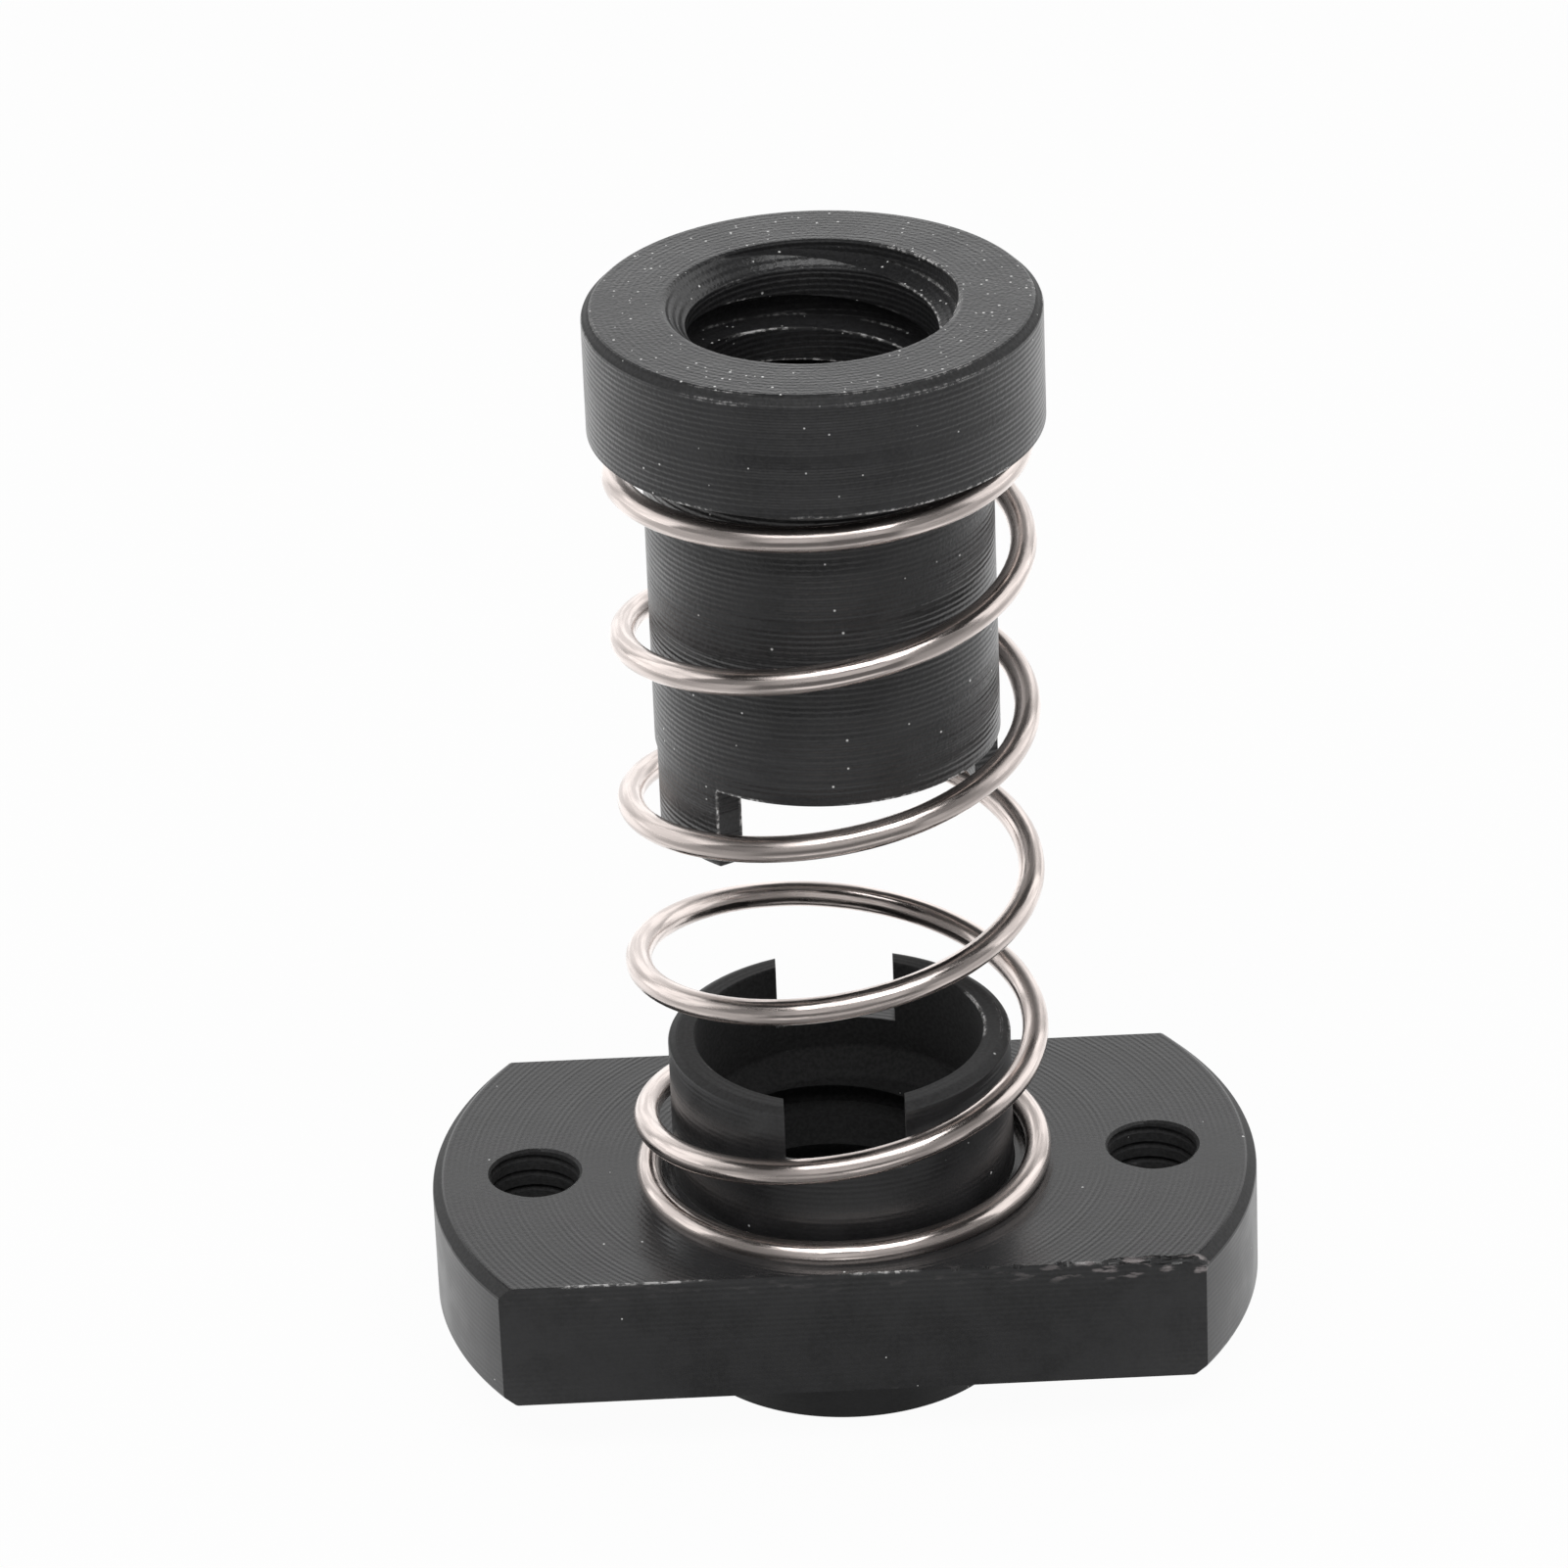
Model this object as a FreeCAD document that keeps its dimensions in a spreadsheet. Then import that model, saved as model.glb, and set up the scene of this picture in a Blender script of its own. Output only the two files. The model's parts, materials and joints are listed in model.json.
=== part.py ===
"""Lead screw nut: a flanged nut, a sliding nut and the spring that presses them apart.

Frame: millimetres, +Z up along the screw axis, origin at the middle of the pilot boss's end face.
X runs through the two tapped holes of the flange, Y across its milled flats.
"""
import FreeCAD, Part
import math
import os

import Sketcher

# Driving dimensions: millimetres, or turns and degrees where the name says so.
SIZES = {
    # flange nut, from the bottom up
    "boss_diameter": 9.9,
    "boss_height": 1.9,
    "flange_diameter": 24.0,
    "flange_width": 13.0,
    "flange_thickness": 3.9,
    "flange_edge_chamfer": 0.3,
    "socket_diameter": 9.9,
    "socket_height": 4.3,
    "socket_bore": 8.35,
    "socket_depth": 2.9,
    "socket_rim_width": 0.25,
    "socket_rim_drop": 0.13,
    "slot_width": 3.45,
    "slot_depth": 1.95,
    # tapped holes in the flange
    "hole_spacing": 18.0,
    "hole_tap_diameter": 2.6,
    "hole_mouth_diameter": 3.1,
    # lead screw thread of both nuts, left at its minor diameter
    "thread_minor_diameter": 7.0,
    "thread_mouth_diameter": 8.25,
    # sliding nut
    "barrel_length": 9.6,
    "barrel_clearance": 0.4,
    "collar_thickness": 3.6,
    "collar_overhang": 0.35,
    "collar_edge_chamfer": 0.25,
    "tongue_length": 2.4,
    "tongue_side_gap": 0.075,
    "tongue_bore_rise": 1.0,
    "rest_gap": 9.9,
    "rest_turn_degrees": -61.0,
    # spring
    "wire_diameter": 0.75,
    "spring_clearance": 0.35,
    "spring_turns": 5.8,
    "spring_start_degrees": 180.0,
    "bottom_closed_turns": 0.78,
    "bottom_closed_pitch": 0.8,
    "bottom_tip_thickness": 0.35,
    "top_closed_turns": 0.8,
    "top_closed_pitch": 1.2,
    "top_tip_thickness": 0.65,
    "pitch_blend_turns": 0.5,
}

# Sizes that follow from the driving ones.
FITS = {
    "flange_top": "boss_height + flange_thickness",
    "socket_top": "flange_top + socket_height",
    "socket_floor": "socket_top - socket_depth",
    "slot_floor": "socket_top - slot_depth",
    "spring_inner_diameter": "socket_diameter + 2 * spring_clearance",
    "spring_mean_diameter": "spring_inner_diameter + wire_diameter",
    "spring_outer_diameter": "spring_mean_diameter + wire_diameter",
    "barrel_diameter": "spring_inner_diameter - 2 * barrel_clearance",
    "barrel_bottom": "socket_top + rest_gap",
    "collar_underside": "barrel_bottom + barrel_length",
    "collar_diameter": "spring_outer_diameter + 2 * collar_overhang",
    "nut_length": "barrel_length + collar_thickness",
    "tongue_width": "slot_width - 2 * tongue_side_gap",
}

# How far a cutting outline reaches past the material that it clears.
CUT_MARGIN = 1.0
# Points for each turn of the spring where its arcs meet the helix, and how short a piece
# of a turn shows the wire's direction there.
POINTS_PER_TURN = 4
SHORT_TURN = 0.0001


def make_sheet(doc):
    """The spreadsheet of named sizes: plain numbers first, then the ones worked out from them."""
    sheet = doc.addObject("Spreadsheet::Sheet", "sizes")
    cells = {name: str(value) for name, value in SIZES.items()}
    cells.update({name: "=" + rule for name, rule in FITS.items()})
    for row, (name, content) in enumerate(cells.items(), start=1):
        sheet.set(f"A{row}", name)
        sheet.set(f"B{row}", content)
        sheet.setAlias(f"B{row}", name)
    doc.recompute()
    return sheet


def size_rule(rule):
    """The same rule with each name pointed at its cell in the spreadsheet."""
    words = rule.replace("(", "( ").replace(")", " )").split()
    return " ".join("sizes." + word if word.isidentifier() else word for word in words)


def add_sketch(body, name, plane_role, height=None):
    """A sketch on one of the body's own origin planes, raised by a size if one is named."""
    sketch = body.newObject("Sketcher::SketchObject", name)
    plane = next(item for item in body.Origin.OriginFeatures if item.Role == plane_role)
    sketch.AttachmentSupport = [(plane, "")]
    sketch.MapMode = "FlatFace"
    if height:
        sketch.setExpression("AttachmentOffset.Base.z", size_rule(height))
    return sketch


def place_point(sketch, geometry, point, across, up):
    """Hold one point of the sketch at named distances from the sketch's origin."""
    for kind, rule in (("DistanceX", across), ("DistanceY", up)):
        value = float(sketch.evalExpression(size_rule(rule)))
        index = sketch.addConstraint(Sketcher.Constraint(kind, -1, 1, geometry, point, value))
        sketch.setExpression(f"Constraints[{index}]", size_rule(rule))


def draw_outline(sketch, corners):
    """A closed outline of straight lines, each corner given by two rules: across and up."""
    spots = []
    for across, up in corners:
        x = float(sketch.evalExpression(size_rule(across)))
        y = float(sketch.evalExpression(size_rule(up)))
        spots.append(FreeCAD.Vector(x, y, 0))
    ends = spots[1:] + spots[:1]
    lines = [Part.LineSegment(start, end) for start, end in zip(spots, ends)]
    indices = sketch.addGeometry(lines, False)
    for index, following in zip(indices, indices[1:] + indices[:1]):
        sketch.addConstraint(Sketcher.Constraint("Coincident", index, 2, following, 1))
    for index, (across, up) in zip(indices, corners):
        place_point(sketch, index, 1, across, up)


def draw_circle(sketch, across, up, diameter):
    """A circle held by its centre and its diameter."""
    centre = FreeCAD.Vector(float(sketch.evalExpression(size_rule(across))), 0, 0)
    radius = float(sketch.evalExpression(size_rule(diameter))) / 2
    circle = Part.Circle(centre, FreeCAD.Vector(0, 0, 1), radius)
    index = sketch.addGeometry(circle, False)
    place_point(sketch, index, 3, across, up)
    width = sketch.addConstraint(Sketcher.Constraint("Diameter", index, 2 * radius))
    sketch.setExpression(f"Constraints[{width}]", size_rule(diameter))


def add_revolution(body, name, sketch):
    """Turn a half section once round the sketch's upright axis."""
    turned = body.newObject("PartDesign::Revolution", name)
    turned.Profile = sketch
    turned.ReferenceAxis = (sketch, ["V_Axis"])
    turned.Angle = 360
    sketch.Visibility = False
    return turned


def add_pocket(body, name, sketch, upward=False, both_ways=False):
    """Cut an outline right through the body, on one side of its sketch or on both."""
    pocket = body.newObject("PartDesign::Pocket", name)
    pocket.Profile = sketch
    pocket.Type = "ThroughAll"
    pocket.Reversed = upward
    if both_ways:
        pocket.SideType = "Symmetric"
    return pocket


def rectangle(left, right, bottom, top):
    """The four corners of an upright rectangle, as rules."""
    return [(left, bottom), (right, bottom), (right, top), (left, top)]


def make_flange_nut(doc):
    """Turned boss, flange and socket in one piece, with flats, slots and tapped holes."""
    body = doc.addObject("PartDesign::Body", "flange_nut")
    body.Label = "flange_nut"
    section = add_sketch(body, "flange_nut_section", "XZ_Plane")
    draw_outline(section, [
        ("thread_mouth_diameter / 2", "0"),
        ("boss_diameter / 2", "0"),
        ("boss_diameter / 2", "boss_height"),
        ("flange_diameter / 2 - flange_edge_chamfer", "boss_height"),
        ("flange_diameter / 2", "boss_height + flange_edge_chamfer"),
        ("flange_diameter / 2", "flange_top - flange_edge_chamfer"),
        ("flange_diameter / 2 - flange_edge_chamfer", "flange_top"),
        ("socket_diameter / 2", "flange_top"),
        ("socket_diameter / 2", "socket_top - socket_rim_drop"),
        ("socket_diameter / 2 - socket_rim_width", "socket_top"),
        ("socket_bore / 2", "socket_top"),
        ("socket_bore / 2", "socket_floor"),
        ("thread_minor_diameter / 2", "socket_floor - ( socket_bore - thread_minor_diameter ) / 2"),
        ("thread_minor_diameter / 2", "( thread_mouth_diameter - thread_minor_diameter ) / 2"),
    ])
    add_revolution(body, "flange_nut_turning", section)

    flats = add_sketch(body, "flange_flats_outline", "XY_Plane")
    reach = f"( flange_diameter / 2 + {CUT_MARGIN} )"
    draw_outline(flats, rectangle(f"-1 * {reach}", reach, "flange_width / 2", reach))
    draw_outline(flats, rectangle(f"-1 * {reach}", reach, f"-1 * {reach}", "-1 * flange_width / 2"))
    add_pocket(body, "flange_flats", flats, upward=True)

    slots = add_sketch(body, "socket_slots_outline", "XZ_Plane")
    above = f"socket_top + {CUT_MARGIN}"
    draw_outline(slots, rectangle("-1 * slot_width / 2", "slot_width / 2", "slot_floor", above))
    add_pocket(body, "socket_slots", slots, both_ways=True)

    centres = add_sketch(body, "tapped_hole_centres", "XY_Plane", height="flange_top")
    for side in ("-1 * ", ""):
        draw_circle(centres, f"{side}hole_spacing / 2", "0", "hole_tap_diameter")
    doc.recompute()
    holes = body.newObject("PartDesign::Hole", "tapped_holes")
    holes.Profile = centres
    holes.Threaded = False
    holes.DepthType = "ThroughAll"
    holes.HoleCutType = "Countersink"
    holes.HoleCutCountersinkAngle = 90
    holes.setExpression("Diameter", size_rule("hole_tap_diameter"))
    holes.setExpression("HoleCutDiameter", size_rule("hole_mouth_diameter"))
    return body


def make_sliding_nut(doc):
    """Turned collar and barrel in one piece; its end is milled away beside two tongues."""
    body = doc.addObject("PartDesign::Body", "sliding_nut")
    body.Label = "sliding_nut"
    section = add_sketch(body, "sliding_nut_section", "XZ_Plane")
    top_lead = "nut_length - ( thread_mouth_diameter - thread_minor_diameter ) / 2"
    draw_outline(section, [
        ("socket_bore / 2", "-1 * tongue_length"),
        ("barrel_diameter / 2", "-1 * tongue_length"),
        ("barrel_diameter / 2", "barrel_length"),
        ("collar_diameter / 2", "barrel_length"),
        ("collar_diameter / 2", "nut_length - collar_edge_chamfer"),
        ("collar_diameter / 2 - collar_edge_chamfer", "nut_length"),
        ("thread_mouth_diameter / 2", "nut_length"),
        ("thread_minor_diameter / 2", top_lead),
        ("thread_minor_diameter / 2", "tongue_bore_rise + ( socket_bore - thread_minor_diameter ) / 2"),
        ("socket_bore / 2", "tongue_bore_rise"),
    ])
    add_revolution(body, "sliding_nut_turning", section)

    milled = add_sketch(body, "tongue_milling_outline", "XY_Plane")
    reach = f"( barrel_diameter / 2 + {CUT_MARGIN} )"
    draw_outline(milled, rectangle("tongue_width / 2", reach, f"-1 * {reach}", reach))
    draw_outline(milled, rectangle(f"-1 * {reach}", "-1 * tongue_width / 2", f"-1 * {reach}", reach))
    add_pocket(body, "tongue_milling", milled)

    body.Placement = FreeCAD.Placement(FreeCAD.Vector(), FreeCAD.Rotation(FreeCAD.Vector(0, 0, 1), 1))
    body.setExpression("Placement.Base.z", size_rule("barrel_bottom"))
    body.setExpression("Placement.Rotation.Angle", size_rule("rest_turn_degrees"))
    return body


def smooth_rise(share):
    """How far a slope that swells smoothly from 0 to 1 has climbed by this share of the blend."""
    if share <= 0:
        return 0.0
    if share >= 1:
        return share - 0.5
    return share ** 3 - share ** 4 / 2


def wire_centre(size, turns):
    """Middle of the wire after so many turns of a right-hand helix, closed at both ends."""
    wire_radius = size["wire_diameter"] / 2
    start = size["flange_top"] + size["bottom_tip_thickness"] - wire_radius
    end = size["collar_underside"] - size["top_tip_thickness"] + wire_radius
    bottom_pitch = size["bottom_closed_pitch"]
    top_pitch = size["top_closed_pitch"]
    closed_rise = size["bottom_closed_turns"] * bottom_pitch + size["top_closed_turns"] * top_pitch
    active_turns = size["spring_turns"] - size["bottom_closed_turns"] - size["top_closed_turns"]
    active_pitch = (end - start - closed_rise) / active_turns

    blend = size["pitch_blend_turns"]
    opens = size["bottom_closed_turns"] - blend / 2
    closes = size["spring_turns"] - size["top_closed_turns"] - blend / 2
    height = start + bottom_pitch * turns
    height += (active_pitch - bottom_pitch) * blend * smooth_rise((turns - opens) / blend)
    height -= (active_pitch - top_pitch) * blend * smooth_rise((turns - closes) / blend)

    radius = size["spring_mean_diameter"] / 2
    angle = math.radians(size["spring_start_degrees"] + 360 * turns)
    return FreeCAD.Vector(radius * math.cos(angle), radius * math.sin(angle), height)


def wire_direction(size, turns):
    """Unit vector along the wire, taken across a very short piece of it."""
    ahead = wire_centre(size, turns + SHORT_TURN)
    behind = wire_centre(size, turns - SHORT_TURN)
    return (ahead - behind).normalize()


def joined_arcs(start, start_way, end, end_way):
    """Two arcs that run on smoothly from one point and direction to the next.

    Each is given as its start, the corner where its end tangents meet, and its end.
    """
    chord = end - start
    ways = start_way + end_way
    bend = 2 * (1 - start_way.dot(end_way))
    along = chord.dot(ways)
    reach = (math.sqrt(along ** 2 + bend * chord.dot(chord)) - along) / bend
    first_corner = start + start_way * reach
    second_corner = end - end_way * reach
    middle = (first_corner + second_corner) * 0.5
    return [(start, first_corner, middle), (middle, second_corner, end)]


def sweep_along_arc(ring, start, corner, end):
    """Turn the wire's outline about an arc's own axis: the skin it leaves and where it ends up."""
    way_in = (corner - start).normalize()
    way_out = (end - corner).normalize()
    axis = way_in.cross(way_out).normalize()
    turn = way_in.getAngle(way_out)
    centre = start + axis.cross(way_in) * ((corner - start).Length / math.tan(turn / 2))
    skin = ring.revolve(centre, axis, math.degrees(turn))
    moved = ring.copy()
    moved.rotate(centre, axis, math.degrees(turn))
    return skin.Faces, moved


def make_spring(doc, sheet):
    """Round wire wound along the helix, with both ends ground flat where they seat."""
    size = {name: float(sheet.get(name)) for name in list(SIZES) + list(FITS)}
    steps = math.ceil(size["spring_turns"] * POINTS_PER_TURN)
    turns = [size["spring_turns"] * step / steps for step in range(steps + 1)]
    stops = [(wire_centre(size, turn), wire_direction(size, turn)) for turn in turns]

    ring = Part.Circle(*stops[0], size["wire_diameter"] / 2).toShape()
    faces = [Part.Face(Part.Wire([ring]))]
    for here, following in zip(stops, stops[1:]):
        for arc in joined_arcs(*here, *following):
            skin, ring = sweep_along_arc(ring, *arc)
            faces += skin
    faces.append(Part.Face(Part.Wire([ring])))
    shell = Part.makeShell(faces)
    shell.sewShape()
    coil = Part.makeSolid(shell)

    between = Part.makeCylinder(
        size["spring_outer_diameter"],
        size["collar_underside"] - size["flange_top"],
        FreeCAD.Vector(0, 0, size["flange_top"]),
    )
    spring = doc.addObject("Part::Feature", "spring")
    spring.Label = "spring"
    spring.Shape = coil.common(between).Solids[0]
    spring.Placement = FreeCAD.Placement()
    return spring


def check_document(doc, pieces):
    """Stop if any object failed, or if a piece is not one valid solid."""
    for item in doc.Objects:
        if "Invalid" in item.State or "Error" in item.State:
            raise RuntimeError(f"{item.Name} did not build: {item.State}")
    for piece in pieces:
        shape = piece.Shape
        if shape.isNull() or not shape.isValid() or len(shape.Solids) != 1:
            raise RuntimeError(f"{piece.Label} is not one valid solid")
        box = shape.optimalBoundingBox(False)
        print(f"{piece.Label}: {shape.Volume:.1f} mm3, z {box.ZMin:.3f} to {box.ZMax:.3f}")


def main():
    """Build the document and write each piece to its own file."""
    doc = FreeCAD.newDocument("lead_screw_nut")
    sheet = make_sheet(doc)
    pieces = [make_flange_nut(doc), make_spring(doc, sheet), make_sliding_nut(doc)]
    doc.recompute()
    check_document(doc, pieces)
    os.makedirs("parts", exist_ok=True)
    for piece in pieces:
        piece.Shape.exportStep(f"parts/{piece.Label}.step")


main()
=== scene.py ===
"""Sprung lead screw nut: two turned nuts of black plastic and the polished spring between them.

Lengths are in metres in the part's own frame, with +Z up along the screw axis.
"""
import json
import math
import random

import bmesh
import bpy
from mathutils import Matrix, Vector


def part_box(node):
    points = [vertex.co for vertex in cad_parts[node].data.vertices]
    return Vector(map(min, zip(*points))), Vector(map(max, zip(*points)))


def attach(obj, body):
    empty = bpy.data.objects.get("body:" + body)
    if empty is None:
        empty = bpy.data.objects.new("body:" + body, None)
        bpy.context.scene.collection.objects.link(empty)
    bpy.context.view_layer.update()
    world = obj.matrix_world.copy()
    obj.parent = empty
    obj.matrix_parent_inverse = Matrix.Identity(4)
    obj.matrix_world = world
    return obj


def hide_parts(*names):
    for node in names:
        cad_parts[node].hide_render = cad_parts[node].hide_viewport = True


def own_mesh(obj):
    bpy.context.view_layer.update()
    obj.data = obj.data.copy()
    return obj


bl_info = {
    "name": "Lead screw nut",
    "version": (1, 0, 0),
    "blender": (4, 5, 0),
    "location": "3D View > Sidebar > Lead screw nut",
    "description": "Dresses a sprung two-part lead screw nut: threads, spring, finishes and stage",
    "category": "Object",
}

MM = 0.001
UP = Vector((0, 0, 1))

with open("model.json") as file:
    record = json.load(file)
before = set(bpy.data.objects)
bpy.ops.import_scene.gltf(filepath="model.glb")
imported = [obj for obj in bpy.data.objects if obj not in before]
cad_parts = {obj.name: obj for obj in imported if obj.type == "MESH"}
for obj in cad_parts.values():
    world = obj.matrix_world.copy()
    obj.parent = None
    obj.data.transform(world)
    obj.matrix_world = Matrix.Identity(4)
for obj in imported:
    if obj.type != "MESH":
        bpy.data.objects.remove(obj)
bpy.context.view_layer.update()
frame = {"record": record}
FLANGE_HIGH = Vector(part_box("flange_nut")[1])
SPRING_LOW, SPRING_HIGH = (Vector(corner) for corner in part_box("spring"))
SLIDING_LOW, SLIDING_HIGH = (Vector(corner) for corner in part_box("sliding_nut"))
MOUNTS = {mount["name"]: mount for mount in frame["record"]["mounts"]}
HOLES = MOUNTS["flange_holes"]

# How finely each kind of round is made: steps a turn, and sides of the wire.
TURNING_STEPS = 256
THREAD_STEPS = 72
TAP_STEPS = 60
DRILL_STEPS = 96
WIRE_STEPS = 96
WIRE_SIDES = 28
# Where each lead screw thread's groove starts round the axis.
FLANGE_THREAD_START = math.radians(140)
SLIDING_THREAD_START = math.radians(41)
# How far a groove's cutter starts inside the hole that it is cut from.
SCREW_CUTTER_DEPTH = 0.3 * MM
TAP_CUTTER_DEPTH = 0.15 * MM
TAP_FLANK = math.radians(30)
# Breaks in the flange's front top edge: start and end beside the middle, and depth, in millimetres.
EDGE_WEAR = (
    (6.7, 10.9, 0.13), (5.7, 6.35, 0.07), (4.5, 4.9, 0.06), (3.65, 3.95, 0.05), (2.8, 3.1, 0.05),
)
WEAR_CELLS = 14
WEAR_LEAN = math.radians(42)
WEAR_HEIGHT = 0.6
CUT_MARGIN = 1.0 * MM
WELD = 0.0005 * MM
# A face whose normal points this much along one axis belongs to a milled or turned plane.
PLANE = 0.99995
# A face whose normal rises this much counts as facing up, and takes rings instead of a wall's lines.
FACING = 0.8
# Roughness of each finish, from its smoothest to its roughest places where it varies.
WALL_ROUGHNESS = (0.3, 0.36)
WIRE_ROUGHNESS = (0.16, 0.3)
FLANGE_TOP_ROUGHNESS = 0.24
MATT_ROUGHNESS = 0.65
SCUFF_ROUGHNESS = 0.6
FLOOR_ROUGHNESS = 0.9
PLASTIC_IOR = 1.55
# How much of the floor's look is its own even glow. The rest takes the shadow.
FLOOR_GLOW = 0.96
# Soft lights: name, place in metres, width and height in metres, and watts.
LAMPS = (
    ("left_light", (-0.4, 0.12, 0.16), 0.4, 0.4, 0.5),
    ("right_light", (0.4, 0.12, 0.16), 0.4, 0.4, 0.5),
    ("high_light", (0, -0.22, 0.38), 0.45, 0.22, 1.1),
)
LAMP_AIM = (0, 0, 15 * MM)


def length(name, millimetres, description):
    """A length that a user can change, stated in millimetres."""
    return bpy.props.FloatProperty(
        name=name, description=description, default=millimetres * MM, min=0, unit="LENGTH", precision=5,
    )


def colour(name, value, description):
    """A plain colour that a user can change."""
    return bpy.props.FloatVectorProperty(
        name=name, description=description, default=value, size=3, min=0, max=1, subtype="COLOR",
    )


def number(name, value, description):
    """A plain number that a user can change."""
    return bpy.props.FloatProperty(name=name, description=description, default=value, min=0, max=1000)


def angle(name, degrees, description):
    """An angle that a user can change, stated in degrees."""
    return bpy.props.FloatProperty(
        name=name, description=description, default=math.radians(degrees), subtype="ANGLE",
    )


class FlangeNutSettings(bpy.types.PropertyGroup):
    boss_diameter: length("Boss diameter", 9.9, "Width of the pilot boss under the flange")
    boss_height: length("Boss height", 1.9, "How far the boss stands out under the flange")
    edge_chamfer: length("Edge chamfer", 0.3, "Chamfer on both rims of the flange")
    socket_diameter: length("Socket diameter", 9.9, "Outside of the slotted socket")
    socket_bore: length("Socket bore", 8.35, "Wide bore inside the socket")
    socket_depth: length("Socket depth", 2.9, "How deep the wide bore goes")
    rim_width: length("Rim width", 0.25, "Width of the dropped edge round the socket's rim")
    rim_drop: length("Rim drop", 0.13, "How far that edge drops")
    slot_width: length("Slot width", 3.45, "Width of the two slots in the socket")
    slot_depth: length("Slot depth", 1.95, "Depth of the two slots")
    hole_mouth: length("Hole mouth", 2.75, "Width of the lead-in of the two tapped holes")
    tap_root: length("Tap root", 2.86, "Diameter at the root of the tapped holes' thread")
    tap_pitch: length("Tap pitch", 0.5, "Pitch of the tapped holes' thread")


class SlidingNutSettings(bpy.types.PropertyGroup):
    barrel_diameter: length("Barrel diameter", 9.8, "Outside of the barrel inside the spring")
    collar_thickness: length("Collar thickness", 3.6, "Height of the collar that the spring pushes on")
    edge_chamfer: length("Edge chamfer", 0.25, "Chamfer on the collar's upper rim")
    end_bore: length("End bore", 8.35, "Wide bore at the tongues' end")
    tongue_width: length("Tongue width", 3.3, "Width of the two tongues")
    tongue_length: length("Tongue length", 2.4, "How far the tongues stand out of the barrel")
    bore_rise: length("Bore rise", 1.0, "How far the wide end bore goes into the barrel")
    rest_turn: angle("Turn at rest", -61, "How far the nut is turned out of line with the slots")


class ThreadSettings(bpy.types.PropertyGroup):
    pitch: length("Pitch", 2.0, "Pitch of the lead screw thread")
    root_diameter: length("Root diameter", 8.2, "Diameter at the bottom of the groove")
    mouth_diameter: length("Mouth diameter", 8.25, "Diameter of the lead-in's mouth")
    crest_gap: length("Groove width", 1.02, "Width of the groove at the crest")
    flank_angle: angle("Flank angle", 15, "Slope of each flank of the thread")
    edge_break: length("Edge break", 0.035, "Small break on every turned edge")


class SpringSettings(bpy.types.PropertyGroup):
    wire_diameter: length("Wire diameter", 0.75, "Thickness of the spring's wire")
    turns: number("Turns", 5.8, "Turns of wire from tip to tip")
    bottom_run_out: number("Bottom run-out", 0.035, "Turns by which the ground lower tip tapers on")
    start_angle: angle("Start angle", 180, "Where the lower tip lies round the axis")
    bottom_closed_turns: number("Bottom closed turns", 0.78, "Turns wound close at the bottom")
    bottom_pitch: length("Bottom pitch", 0.8, "Rise of each close turn at the bottom")
    bottom_tip: length("Bottom tip", 0.35, "What grinding leaves of the wire at the lower tip")
    top_closed_turns: number("Top closed turns", 0.8, "Turns wound close at the top")
    top_pitch: length("Top pitch", 1.2, "Rise of each close turn at the top")
    top_tip: length("Top tip", 0.65, "What grinding leaves of the wire at the upper tip")
    blend_turns: number("Blend turns", 0.5, "Turns over which the pitch changes")


class FinishSettings(bpy.types.PropertyGroup):
    plastic: colour("Plastic", (0.023, 0.023, 0.024), "Black of both nuts")
    # Colour of the burrs, and of the painted highlight along the cut edges.
    burr: colour("Burrs", (0.88, 0.87, 0.86), "Raised burrs along the cut edges")
    dust: colour("Dust", (0.8, 0.8, 0.79), "Specks of dust and swarf")
    scuff: colour("Scuffs", (0.3, 0.27, 0.27), "Scuffed plastic on the flange's edge")
    steel: colour("Steel", (0.74, 0.66, 0.625), "Polished spring wire")
    ring_pitch: length("Ring pitch", 0.175, "Spacing of the turning marks")


class StageSettings(bpy.types.PropertyGroup):
    floor_colour: colour("Floor", (0.85, 0.85, 0.85), "Colour of the floor under the nut")
    camera_azimuth: angle("Azimuth", -0.6, "Camera's turn round the nut")
    camera_elevation: angle("Elevation", 27.78, "Camera's height above the horizon")
    camera_roll: angle("Roll", -2.33, "Camera's lean")
    camera_distance: length("Distance", 232.75, "Camera's distance from what it looks at")
    aim_side: bpy.props.FloatProperty(
        name="Aim to the side", description="How far beside the screw axis the camera looks",
        default=-1.3 * MM, unit="LENGTH", precision=5,
    )
    aim_height: length("Aim height", 18.18, "How high up the nut the camera looks")
    camera_lens: number("Lens", 188.04, "Focal length in millimetres")


def settings():
    """All the property groups, as they stand on the scene."""
    return bpy.context.scene.lead_screw_nut


class LeadScrewNutSettings(bpy.types.PropertyGroup):
    flange_nut: bpy.props.PointerProperty(type=FlangeNutSettings)
    sliding_nut: bpy.props.PointerProperty(type=SlidingNutSettings)
    thread: bpy.props.PointerProperty(type=ThreadSettings)
    spring: bpy.props.PointerProperty(type=SpringSettings)
    finish: bpy.props.PointerProperty(type=FinishSettings)
    stage: bpy.props.PointerProperty(type=StageSettings)


def outline_loop(bm, corners):
    """Closed loop of edges through (radius, height) corners, with its vertices."""
    verts = [bm.verts.new((radius, 0, height)) for radius, height in corners]
    edges = [bm.edges.new(pair) for pair in zip(verts, verts[1:] + verts[:1])]
    return verts + edges


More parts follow.
